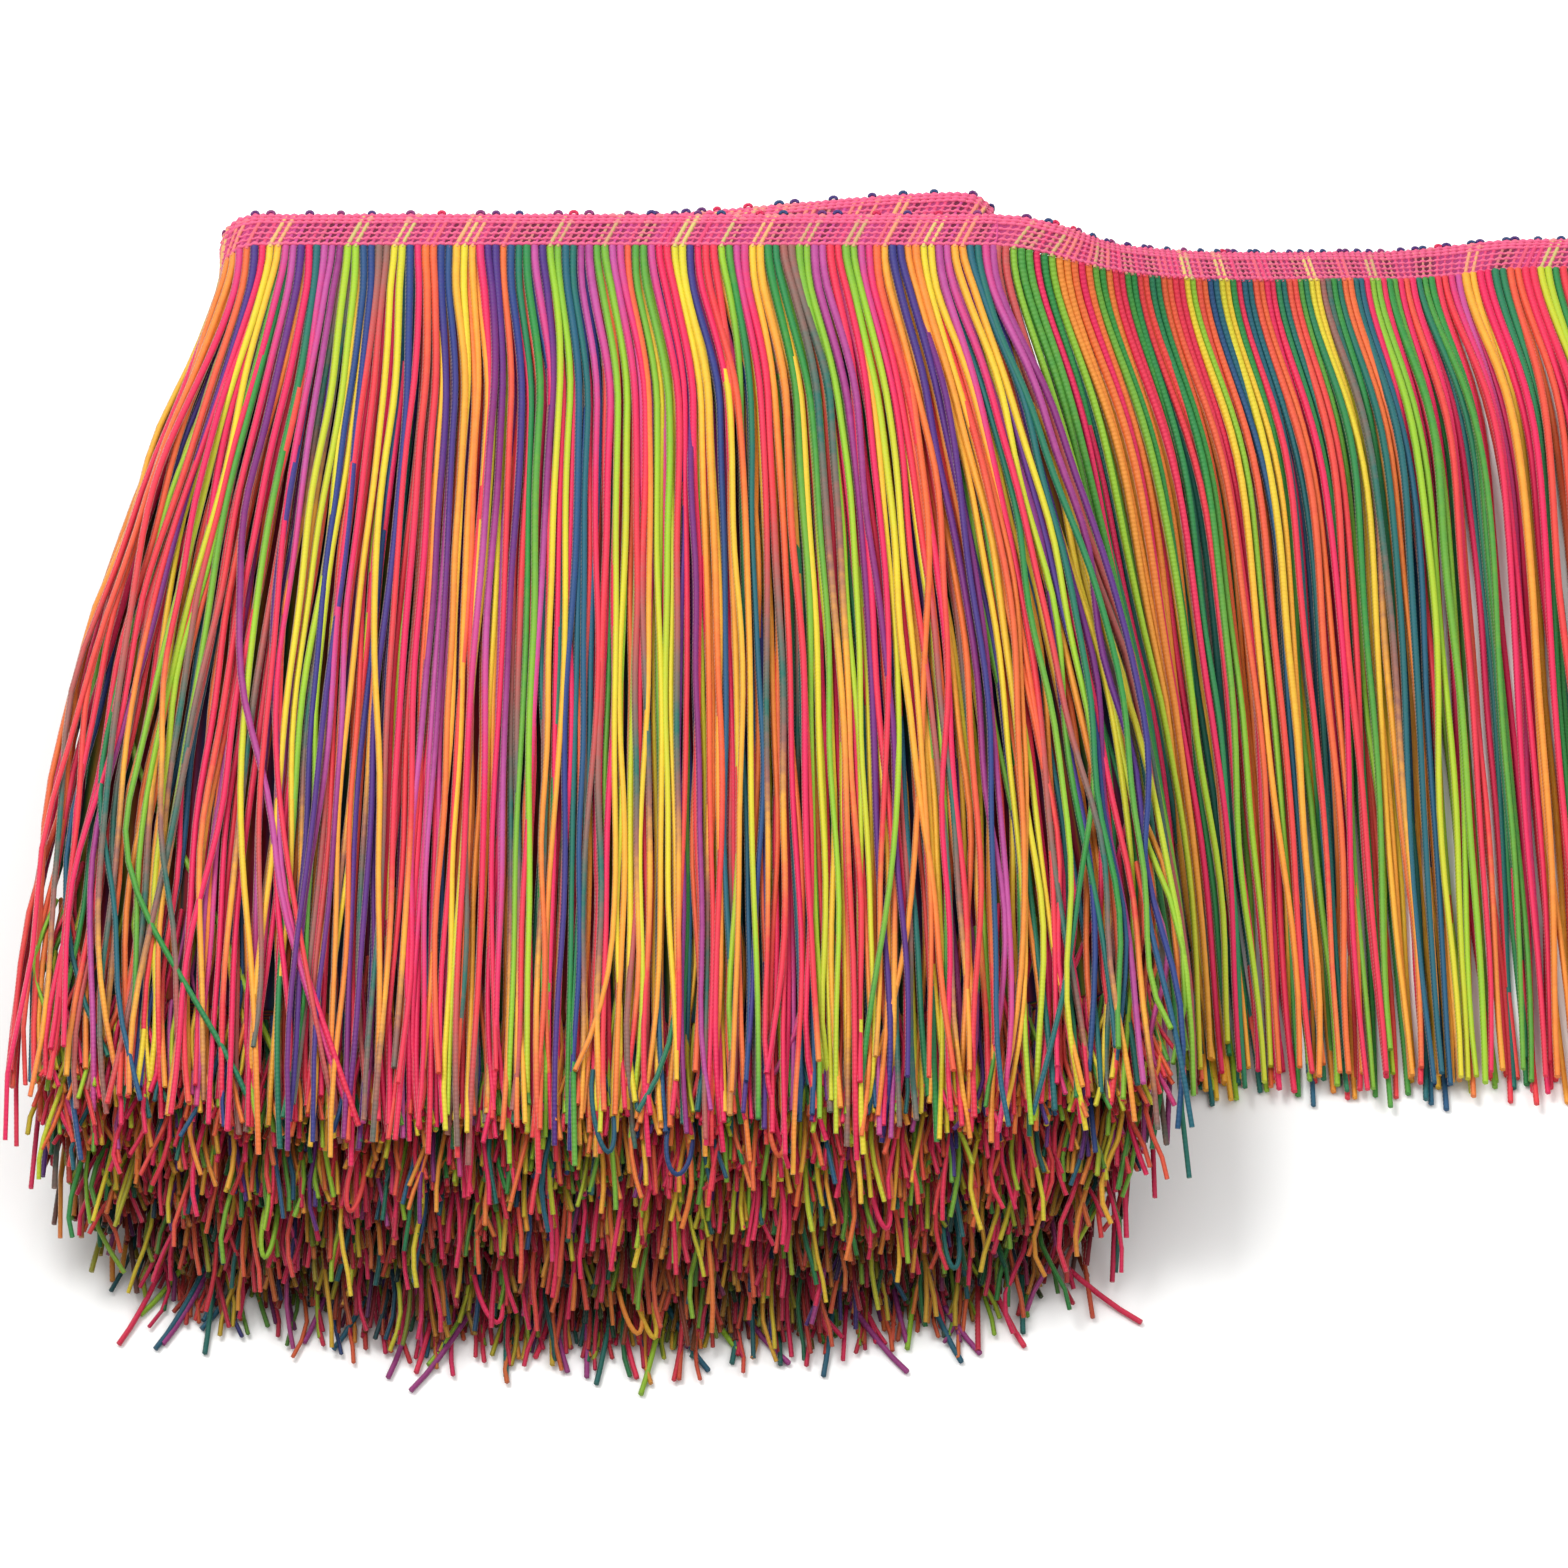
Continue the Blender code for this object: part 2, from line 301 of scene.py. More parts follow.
def winding(turns):
    """The middle line of the wound heading, as x and z, from its outer end inwards."""
    line = [np.array([[HALF_WIDTH, ROLL_HEIGHT - TURN_PITCH / 2]])]
    for turn in range(turns):
        inset = (turn + 0.5) * TURN_PITCH
        side = HALF_WIDTH - inset
        low, high = inset, ROLL_HEIGHT - inset
        top = max(CORNER_RADIUS - inset, 0.5 * MM)
        foot = max(BOTTOM_CORNER_RADIUS - inset, 0.5 * MM)
        room = max((high - low - TURN_PITCH) * 0.45, 0.1 * MM)
        top, foot = min(top, room), min(foot, room)
        line.append(quarter(-side + top, high - top, top, 90))
        line.append(quarter(-side + foot, low + foot, foot, 180))
        line.append(quarter(side - foot, low + foot, foot, 270))
        if turn < turns - 1:
            line.append(quarter(side - top, high - TURN_PITCH - top, top, 0))
    return np.concatenate(line)


def resample(line, spacing):
    """Points at even distances along a line, and their distances from its start."""
    steps = np.linalg.norm(np.diff(line, axis=0), axis=1)
    length = np.concatenate([[0], np.cumsum(steps)])
    places = np.arange(spacing / 2, length[-1], spacing)
    columns = [np.interp(places, length, line[:, axis]) for axis in range(line.shape[1])]
    return np.stack(columns, axis=1), places


wound_line = winding(TURNS)
root_xz, root_distance = resample(wound_line, CORD_PITCH)

# Near its right end the second turn has slipped back from under the first.
SECOND_TURN = 2 * (ROLL_WIDTH + ROLL_HEIGHT) - 16 * MM
SLIP_BACK = 8.6 * MM


def slip(distance):
    """How far back the tape lies at this distance along the winding."""
    past = distance - SECOND_TURN
    rising = smooth_step((past + 45 * MM) / (45 * MM))
    return SLIP_BACK * rising * smooth_step(1 - past / (105 * MM))


root_slip = slip(root_distance)
tangent_xz = np.gradient(root_xz, axis=0)
tangent_xz /= np.linalg.norm(tangent_xz, axis=1, keepdims=True)
outward_xz = np.stack([tangent_xz[:, 1], -tangent_xz[:, 0]], axis=1)

# %% [markdown]
# ## The loose end
#
# The heading of the loose end starts at the top right of the roll, slides down to the table in
# a soft ramp and drifts back on the way.

# %% The loose heading's path


def soft_ramp(share, rounding=0.22):
    """0 to 1 along a straight ramp whose two ends are rounded off."""
    share = np.clip(share, 0.0, 1.0)
    slope = 1.0 / (1.0 - rounding)
    near = np.minimum(share, 1 - share)
    rise = np.where(
        near < rounding, slope * near * near / (2 * rounding), slope * (near - rounding / 2)
    )
    return np.where(share > 0.5, 1 - rise, rise)


# How far the loose heading slides forward, at these distances from the roll.
SLIDE_PLACES = np.array([7, 19, 32, 50, 67, 93, 132, 152]) * MM
SLIDE_AMOUNTS = np.array([0, 3.8, 5.2, 4.8, 3.0, -0.6, -2.4, -2.6]) * MM
SLIDE_SMOOTHING = np.linspace(-8, 8, 7) * MM


def tail_edge(distance):
    """The front top edge of the loose heading, at this distance along x from the roll."""
    slide = 0
    for nearby in SLIDE_SMOOTHING:
        slide = slide + np.interp(distance + nearby, SLIDE_PLACES, SLIDE_AMOUNTS)
    slide = slide / len(SLIDE_SMOOTHING)
    down = soft_ramp((distance - TAIL_DROP_START) / TAIL_DROP_RUN)
    back = soft_ramp((distance - TAIL_BACK_START) / TAIL_BACK_RUN)
    height = ROLL_HEIGHT - (ROLL_HEIGHT - TAPE_THICKNESS * 1.8) * down
    return np.stack([TAIL_START + distance, TAIL_BACK * back - slide, height], axis=-1)


def tail_directions(distance):
    """Along the heading, square to it towards the front, and out of its upper face."""
    step = 1 * MM
    along = tail_edge(distance + step) - tail_edge(distance - step)
    along /= np.linalg.norm(along, axis=-1, keepdims=True)
    forward = np.cross(along, [0.0, 0.0, 1.0])
    forward /= np.linalg.norm(forward, axis=-1, keepdims=True)
    return along, forward, np.cross(forward, along)


tail_line = tail_edge(np.linspace(0, TAIL_LENGTH, 200))
tail_steps = np.linalg.norm(np.diff(tail_line, axis=0), axis=1)
tail_arc = np.concatenate([[0], np.cumsum(tail_steps)])
tail_places = np.arange(CORD_PITCH / 2, tail_arc[-1], CORD_PITCH)
tail_distance = np.interp(tail_places, tail_arc, np.linspace(0, TAIL_LENGTH, 200))
print(f"the loose heading is {tail_arc[-1] * 1000:.0f} mm long, with {len(tail_places)} stitches")

# %% [markdown]
# ## The dye
#
# One yarn makes cord after cord: it runs down to where the loop was cut, and the next cord
# comes back up. So neighbours come in pairs of one colour. The dye repeats about every three
# cords, and the pairs fall into step with it: yellow and purple gather at the heading, and
# nearly every cord turns to pink, coral or orange towards its cut end. A place on the yarn is
# a number whose fraction runs through the colours, from hot pink at 0 round to hot pink at 1.

# %% Places along the dyed yarn
DYE_REPEAT = 0.86

# Where pairs of cords start in the dye, and how many of them do: at the cut ends of the inner
# layers, at the roll's heading and at the loose heading.
END_DYE = {0.01: 25, 0.09: 14, 0.15: 20, 0.21: 9, 0.26: 10, 0.32: 12, 0.38: 8, 0.47: 4}
END_DYE.update({0.60: 3, 0.69: 4})
ROLL_DYE = {0.01: 8, 0.09: 9, 0.16: 15, 0.21: 11, 0.25: 14, 0.32: 13, 0.39: 11, 0.46: 8}
ROLL_DYE.update({0.51: 5, 0.56: 6, 0.62: 8, 0.69: 18, 0.83: 4})
LOOSE_DYE = {0.01: 17, 0.08: 9, 0.14: 15, 0.21: 7, 0.27: 8, 0.33: 13, 0.39: 21, 0.45: 8}
LOOSE_DYE.update({0.51: 2, 0.71: 4, 0.83: 2})
GOLDEN_SECTION = 0.618034
SWAPPED = 0.16


def dye_starts(count, seed, plan, pace, against):
    """For each cord, where on its dyed yarn it leaves the heading, and which way it runs."""
    chance = np.random.default_rng(seed)
    pairs = count // 2 + 1
    shares = np.cumsum(list(plan.values())) / sum(plan.values())
    # Steps of the golden section keep the mix even along the heading, with few repeats.
    turn = np.arange(pairs) * GOLDEN_SECTION + chance.normal(0, 0.07, pairs)
    picks = np.searchsorted(shares, np.mod(turn, 1.0))
    pair_start = np.array(list(plan))[np.minimum(picks, len(plan) - 1)]
    pair_start = pair_start + chance.normal(0, 0.02, pairs)
    towards_pink = np.where(pair_start < 0.49, -1.0, 1.0)
    towards_pink *= np.where(chance.random(pairs) < against, -1.0, 1.0)
    pair_way = towards_pink * chance.uniform(*pace, pairs) / DYE_REPEAT
    pair = np.arange(count) // 2
    swapped = chance.random(count) < SWAPPED
    pair = np.where(swapped, np.clip(pair + chance.integers(1, 5, count), 0, pairs - 1), pair)
    return pair_start[pair] + chance.normal(0, 0.014, count), pair_way[pair]


def dye_along(starts, ways, distance):
    return starts[:, None] + ways[:, None] * distance


# %% [markdown]
# ## Yarn with Geometry Nodes
#
# A cord follows a path and there are thousands of them, so Geometry Nodes sweep them. Each
# path comes in as a chain of edges. The tree turns the chains into curves, gives each its own
# fine ripple and sweeps a small ring along it. The values stored on the path's points, such as
# the dye, travel to the swept surface.

# %% The tree that sweeps yarn along paths
RIPPLE = 0.5 * MM
RIPPLES_PER_METRE = 26
PHASE_STEP = 3.7


def named_value(tree, name):
    node = wired(tree, "GeometryNodeInputNamedAttribute", {"Name": name}, data_type="FLOAT")
    return node.outputs["Attribute"]


def build_yarn_tree():
    shape = ("Geometry", "Geometry", None)
    inputs = [
        shape,
        ("Radius", "Float", CORD_RADIUS),
        ("Sides", "Int", 5),
        ("Ripple", "Float", RIPPLE),
        ("Seed", "Int", 1),
        ("Finish", "Material", None),
    ]
    tree, source, sink = new_group("GeometryNodeTree", "yarn_along_paths", inputs, [shape])
    tree.is_modifier = True
    given = source.outputs
    curves = wired(tree, "GeometryNodeMeshToCurve", {"Mesh": given["Geometry"]})
    cord = named_value(tree, "cord")
    own_phase = calculated(tree, "MULTIPLY_ADD", cord, PHASE_STEP, given["Seed"])
    noise = {"Scale": RIPPLES_PER_METRE, "Detail": 1, "W": own_phase}
    ripple = wired(tree, "ShaderNodeTexNoise", noise, noise_dimensions="4D")
    centring = {0: ripple.outputs["Color"], 1: (0.5, 0.5, 0.5)}
    centred = wired(tree, "ShaderNodeVectorMath", centring, operation="SUBTRACT")
    amount = calculated(tree, "MULTIPLY", named_value(tree, "loose"), given["Ripple"])
    scaling = {0: centred.outputs[0], "Scale": amount}
    moved = wired(tree, "ShaderNodeVectorMath", scaling, operation="SCALE")
    placing = {"Geometry": curves.outputs["Curve"], "Offset": moved.outputs[0]}
    rippled = wired(tree, "GeometryNodeSetPosition", placing)
    size = {"Resolution": given["Sides"], "Radius": given["Radius"]}
    ring = wired(tree, "GeometryNodeCurvePrimitiveCircle", size)
    sweeping = {"Curve": rippled.outputs["Geometry"], "Profile Curve": ring.outputs["Curve"]}
    sweeping.update({"Scale": named_value(tree, "width"), "Fill Caps": True})
    sweep = wired(tree, "GeometryNodeCurveToMesh", sweeping)
    smooth = wired(tree, "GeometryNodeSetShadeSmooth", {"Geometry": sweep.outputs["Mesh"]})
    real = wired(tree, "GeometryNodeRealizeInstances", {"Geometry": smooth.outputs[0]})
    finishing = {"Geometry": real.outputs["Geometry"], "Material": given["Finish"]}
    finish = wired(tree, "GeometryNodeSetMaterial", finishing)
    feed(tree, sink.inputs["Geometry"], finish.outputs["Geometry"])
    return tree


yarn_tree = build_yarn_tree()

# %% Turning a tree's result into a plain mesh


def run_tree(name, mesh, tree, values):
    """Runs a tree on a mesh, and gives back a plain object that holds the result."""
    seed_object = in_scene(name + "_paths", mesh)
    modifier = seed_object.modifiers.new("tree", "NODES")
    modifier.node_group = tree
    sockets = {
        item.name: item.identifier
        for item in tree.interface.items_tree
        if item.item_type == "SOCKET" and item.in_out == "INPUT"
    }
    for label, value in values.items():
        modifier[sockets[label]] = value
    depsgraph = bpy.context.evaluated_depsgraph_get()
    evaluated = seed_object.evaluated_get(depsgraph)
    result = bpy.data.meshes.new_from_object(evaluated, depsgraph=depsgraph)
    result.name = name
    bpy.data.objects.remove(seed_object, do_unlink=True)
    triangles = sum(len(face.vertices) - 2 for face in result.polygons)
    print(f"{name}: {triangles} triangles")
    return in_scene(name, result)


def store_values(mesh, values, shape):
    """Keeps named values on a mesh's points, where trees and shaders find them."""
    for label, value in values.items():
        stored = mesh.attributes.new(label, "FLOAT", "POINT")
        whole = np.broadcast_to(value, shape)
        stored.data.foreach_set("value", whole.reshape(-1).astype("f4"))


def path_mesh(name, points, values):
    """A mesh of one chain of edges a cord. points is cords x steps x 3."""
    cords, steps = points.shape[:2]
    corner = np.arange(cords * steps).reshape(cords, steps)
    edges = np.stack([corner[:, :-1].ravel(), corner[:, 1:].ravel()], axis=1)
    mesh = bpy.data.meshes.new(name)
    mesh.vertices.add(cords * steps)
    mesh.edges.add(len(edges))
    mesh.vertices.foreach_set("co", (points + np.array(ORIGIN)).reshape(-1).astype("f4"))
    mesh.edges.foreach_set("vertices", edges.ravel().astype("i4"))
    store_values(mesh, values, (cords, steps))
    mesh.update()
    return mesh


def sweep_cords(
    name, points, dye, finish, loose=0.0, width=1.0, painted_shade=0.0, radius=CORD_RADIUS, sides=5
):
    """Sweeps yarn along paths. width is a share of the radius; the shade value is painted shade,
    how far a cord's colour is darkened where it lies in shade.
    """
    cord = np.arange(len(points))[:, None]
    distance = np.linalg.norm(np.diff(points, axis=1), axis=2)
    along = np.concatenate([0.0 * cord, np.cumsum(distance, axis=1)], axis=1)
    values = {"dye": dye, "loose": loose, "width": width, "painted_shade": painted_shade, "cord": cord}
    mesh = path_mesh(name, points, {**values, "along": along})
    inputs = {"Radius": radius, "Sides": sides, "Ripple": RIPPLE, "Seed": 3, "Finish": finish}
    return run_tree(name, mesh, yarn_tree, inputs)


# %% [markdown]
# ## Finishes
#
# The colour comes from the dye's place on the yarn, so one shader group turns a place into
# a colour, and every finish uses it; each finish then darkens it with painted shade where a
# cord lies in shade. A second group gives the fine knit of a cord: a row of small stitches
# along it. The shaders themselves stay in the materials.

# %% The dye's colours


def display_colour(*channels):
    """A colour as a screen shows it, 0 to 255, made linear for the shaders."""
    share = np.array(channels) / 255
    linear = np.where(share <= 0.04045, share / 12.92, ((share + 0.055) / 1.055) ** 2.4)
    return (*linear.tolist(), 1.0)


HOT_PINK = (220, 30, 86)
CORAL = (220, 54, 62)
ORANGE = (224, 106, 48)
GOLD = (232, 164, 50)
YELLOW = (220, 200, 44)
LIME = (148, 192, 40)
GREEN = (40, 134, 56)
SEA_GREEN = (18, 102, 90)
TEAL = (24, 84, 116)
NAVY = (36, 52, 122)
VIOLET = (78, 34, 118)
PLUM = (128, 34, 108)
ORCHID = (182, 74, 146)
MAUVE_BROWN = (146, 92, 84)

DYE_BANDS = [
    *((0.00, HOT_PINK), (0.04, HOT_PINK), (0.09, CORAL), (0.15, ORANGE), (0.21, GOLD)),
    *((0.26, YELLOW), (0.32, LIME), (0.38, GREEN), (0.42, SEA_GREEN), (0.48, TEAL)),
    *((0.53, NAVY), (0.58, VIOLET), (0.63, PLUM), (0.68, ORCHID), (0.73, HOT_PINK)),
    *((0.79, CORAL), (0.83, MAUVE_BROWN), (0.86, SEA_GREEN), (0.885, MAUVE_BROWN)),
    *((0.91, GOLD), (0.95, CORAL), (1.00, HOT_PINK)),
]


def fine_noise(group, scale):
    """Noise in the object's own coordinates, with this many cells a metre."""
    where = wired(group, "ShaderNodeTexCoord", {})
    inputs = {"Vector": where.outputs["Object"], "Scale": scale, "Detail": 2}
    return wired(group, "ShaderNodeTexNoise", inputs).outputs["Fac"]


def build_dye_group():
    inputs = [("Place", "Float", 0.0), ("Bleed", "Float", 0.02), ("Mottle", "Float", 0.12)]
    outputs = [("Color", "Color", None)]
    group, source, sink = new_group("ShaderNodeTree", "space_dye", inputs, outputs)
    given = source.outputs
    centred = calculated(group, "SUBTRACT", fine_noise(group, 420), 0.5)
    shifted = calculated(group, "MULTIPLY_ADD", centred, given["Bleed"], given["Place"])
    repeat = calculated(group, "FRACT", shifted)
    bands = wired(group, "ShaderNodeValToRGB", {"Fac": repeat})
    ramp = bands.color_ramp
    ramp.elements.remove(ramp.elements[1])
    ramp.elements[0].position = DYE_BANDS[0][0]
    ramp.elements[0].color = display_colour(*DYE_BANDS[0][1])
    for position, colour in DYE_BANDS[1:]:
        ramp.elements.new(position).color = display_colour(*colour)
    paler = calculated(group, "MULTIPLY_ADD", centred, given["Mottle"], 1.0)
    changes = {"Color": bands.outputs["Color"], "Value": paler}
    mottled = wired(group, "ShaderNodeHueSaturation", changes)
    feed(group, sink.inputs["Color"], mottled.outputs["Color"])
    return group


def build_knit_group():
    """Small stitches along a cord: a ripple by its length, broken up by fine noise."""
    inputs = [("Along", "Float", 0.0), ("Stitch", "Float", 1.1 * MM)]
    outputs = [("Height", "Float", None)]
    group, source, sink = new_group("ShaderNodeTree", "cord_knit", inputs, outputs)
    stitches = calculated(group, "DIVIDE", source.outputs["Along"], source.outputs["Stitch"])
    wave = calculated(group, "SINE", calculated(group, "MULTIPLY", stitches, 2 * math.pi))
    height = calculated(group, "MULTIPLY_ADD", fine_noise(group, 2600), 1.4, wave)
    feed(group, sink.inputs["Height"], height)
    return group


dye_group = build_dye_group()
knit_group = build_knit_group()

# %% The yarn's materials
# Painted shade: cords that lie in shade are darkened towards this colour.
PAINTED_SHADE_COLOUR = (0.165, 0.10, 0.08, 1)
SHEEN_COLOUR = (1.0, 0.86, 0.74, 1)
KNIT_DEPTH = 0.12 * MM


def attribute_value(tree, name):
    return wired(tree, "ShaderNodeAttribute", {}, attribute_name=name).outputs["Fac"]


def mixed(tree, blend, factor, first, second):
    """Two colours mixed. The factor and the colours may be sockets or plain values."""
    node = wired(tree, "ShaderNodeMix", {}, data_type="RGBA", blend_type=blend)
    for label, value in (("Factor", factor), ("A", first), ("B", second)):
        socket = [item for item in node.inputs if item.name == label and item.enabled][0]
        feed(tree, socket, value)
    return [item for item in node.outputs if item.enabled][0]


def yarn_material(name, roughness, sheen, relief, chain=None, tint=1.0, taken=0.3):
    """A dyed yarn. With chain, it is a thread of that colour, which the dye shows through."""
    made = bpy.data.materials.new(name)
    made.use_nodes = True
    tree = made.node_tree
    place = {"Place": attribute_value(tree, "dye")}
    colour = wired(tree, "ShaderNodeGroup", place, node_tree=dye_group).outputs["Color"]
    if chain is not None:
        colour = mixed(tree, "LIGHTEN", taken, display_colour(*chain), colour)
    # tint darkens the colour: painted shade for the packed cords, and a darker tone of its own for
    # the knitted ground.
    if tint < 1:
        colour = mixed(tree, "MULTIPLY", 1.0, colour, (tint, tint * 0.8, tint * 0.85, 1))
    # Painted shade: the stored shade value darkens the dye towards the dark brown colour above.
    colour = mixed(tree, "MULTIPLY", attribute_value(tree, "painted_shade"), colour, PAINTED_SHADE_COLOUR)
    along = {"Along": attribute_value(tree, "along")}
    height = wired(tree, "ShaderNodeGroup", along, node_tree=knit_group).outputs["Height"]
    relief = {"Strength": relief, "Distance": KNIT_DEPTH, "Height": height}
    shader = tree.nodes["Principled BSDF"].inputs
    feed(tree, shader["Base Color"], colour)
    feed(tree, shader["Normal"], wired(tree, "ShaderNodeBump", relief).outputs["Normal"])
    feed(tree, shader["Roughness"], roughness)
    feed(tree, shader["Specular IOR Level"], 0.4)
    feed(tree, shader["Sheen Weight"], sheen)
    feed(tree, shader["Sheen Roughness"], 0.25)
    feed(tree, shader["Sheen Tint"], SHEEN_COLOUR)
    return made


cord_finish = yarn_material("space_dyed_cord", 0.55, 0.85, 0.3)
tape_cord_finish = yarn_material(
    "cord_in_heading", 0.65, 0.3, 0.3, chain=(196, 68, 112), taken=0.85
)
chain_finish = yarn_material("pink_chain_stitch", 0.60, 0.35, 0.25, chain=(226, 94, 134))
# The packed cords' colour is darkened to a quarter with painted shade.
inside_painted_shade_finish = yarn_material("packed_cords_in_painted_shade", 0.9, 0.0, 0.2, tint=0.25)
ground_finish = yarn_material(
    "knitted_ground", 0.8, 0.0, 0.3, chain=(206, 78, 150), tint=0.8, taken=0.0
)
end_finish = yarn_material("space_dyed_end", 0.6, 0.35, 0.3)

# %% [markdown]
# ## The wound cords
#
# The roll holds about 5000 cords, but only the outer layers show along their length. Those are
# swept whole. Of the others only the cut ends show, at the front, so only their last few
# centimetres are made. Each cord wanders a little, leans with the small lock that it lies in,
# and bows to one side just below the heading, as all its neighbours do there. Some cords of
# the top layers leave their place, most of them on the flanks, and lie across the others.

# %% Where each wound cord lies
root_x, root_z = root_xz[:, 0], root_xz[:, 1]
place_across = np.clip(
    root_x / (HALF_WIDTH - rounded_away(root_z, BOTTOM_CORNER_RADIUS)), -1, 1
)
shoulder = rounded_away(HALF_WIDTH * (1 - np.abs(place_across)), CORNER_RADIUS)
place_up = np.clip(root_z / (ROLL_HEIGHT - shoulder), 0, 1)

on_top = outward_xz[:, 1] > 0.7
underneath = outward_xz[:, 1] < -0.7
on_side = ~on_top & ~underneath
depth_in_stack = np.minimum(
    HALF_WIDTH - np.abs(root_x), np.minimum(root_z, ROLL_HEIGHT - root_z)
)
layer = np.floor(depth_in_stack / TURN_PITCH).astype(int)


def slow_noise(chance, shape, waves=3):
    """A few random sines for each cord: smooth, and never alike."""
    count, length = shape
    at = np.linspace(0, 1, length)
    total = np.zeros(shape)
    for wave in range(waves):
        frequency = chance.uniform(0.6, 1.4, (count, 1)) * (wave + 1)
        phase = chance.uniform(0, 2 * math.pi, (count, 1))
        total += np.sin(2 * math.pi * (frequency * at + phase)) / (wave + 1)
    return total


def lock_offsets(chance, count, width):
    """Cords stick together in small locks. Gives each cord the shift towards its lock."""
    shift = np.zeros(count)
    first = 0
    while first < count:
        size = int(chance.integers(3, 9))
        members = np.arange(first, min(first + size, count))
        middle = members.mean()
        shift[members] = (middle - members) * width * 0.30 + chance.normal(0, 0.6) * width
        first += size
    return shift


TIERS = 4.6
TIER_STEP = 19 * MM
TIER_DROP = 11 * MM
TIP_LENGTH = 40 * MM
LAG = 11 * MM
BOW_PLACES = [-1.0, -0.75, -0.55, -0.3, 0.08, 0.43, 0.75, 1.0]
BOW_AMOUNTS = np.array([0.0, 0.3, 1.6, 3.6, 4.6, 4.0, 1.8, 0.0]) * MM


def tier_share(across, up):
    """How far down its own tier a cord lies. The stack ends in tiers, like thatch."""
    waves = 0.30 * np.sin(across * 4.3 + 0.8) + 0.22 * np.sin(across * 9.7 + 4.0)
    waves += 0.16 * np.sin(across * 31 + 1.0) + 0.14 * np.sin(across * 53 + up * 9)
    return np.mod((1 - up) * TIERS + waves * np.clip((1 - up) * 3, 0, 1), 1.0)


def straying(chance, across, layers, share):
    """How far each cord turns aside as it goes, and how high it rides on the others."""
    count = len(across)
    flank = np.clip((np.abs(across) - 0.45) / 0.35, 0, 1)
    likely = (0.06 + 0.34 * flank) * (layers[:, None] < 2)
    strays = chance.random((count, 1)) < likely
    leaves = chance.uniform(0.12, 0.62, (count, 1))
    aside = chance.normal(0, 1, (count, 1)) * (0.03 + 0.085 * flank)
    aside = aside - np.sign(across) * flank * 0.03
    gone = smooth_step((share - leaves) / (1.02 - leaves))
    turning = np.where(strays, aside * gone, 0)
    curls = chance.random((count, 1)) < 0.4 * flank
    swing = -np.sign(across) * chance.uniform(0.02, 0.09, (count, 1))
    swing = swing * np.clip((share - 0.68) / 0.3, 0, 1) ** 2
    turning = turning + np.where(strays & curls, swing, 0)
    lift = chance.uniform(0.8, 2.6, (count, 1)) * MM + layers[:, None] * TURN_PITCH
    raised = np.where(strays, lift * smooth_step((share - leaves + 0.06) * 7), 0)
    return turning, raised * (1 - 0.4 * share)


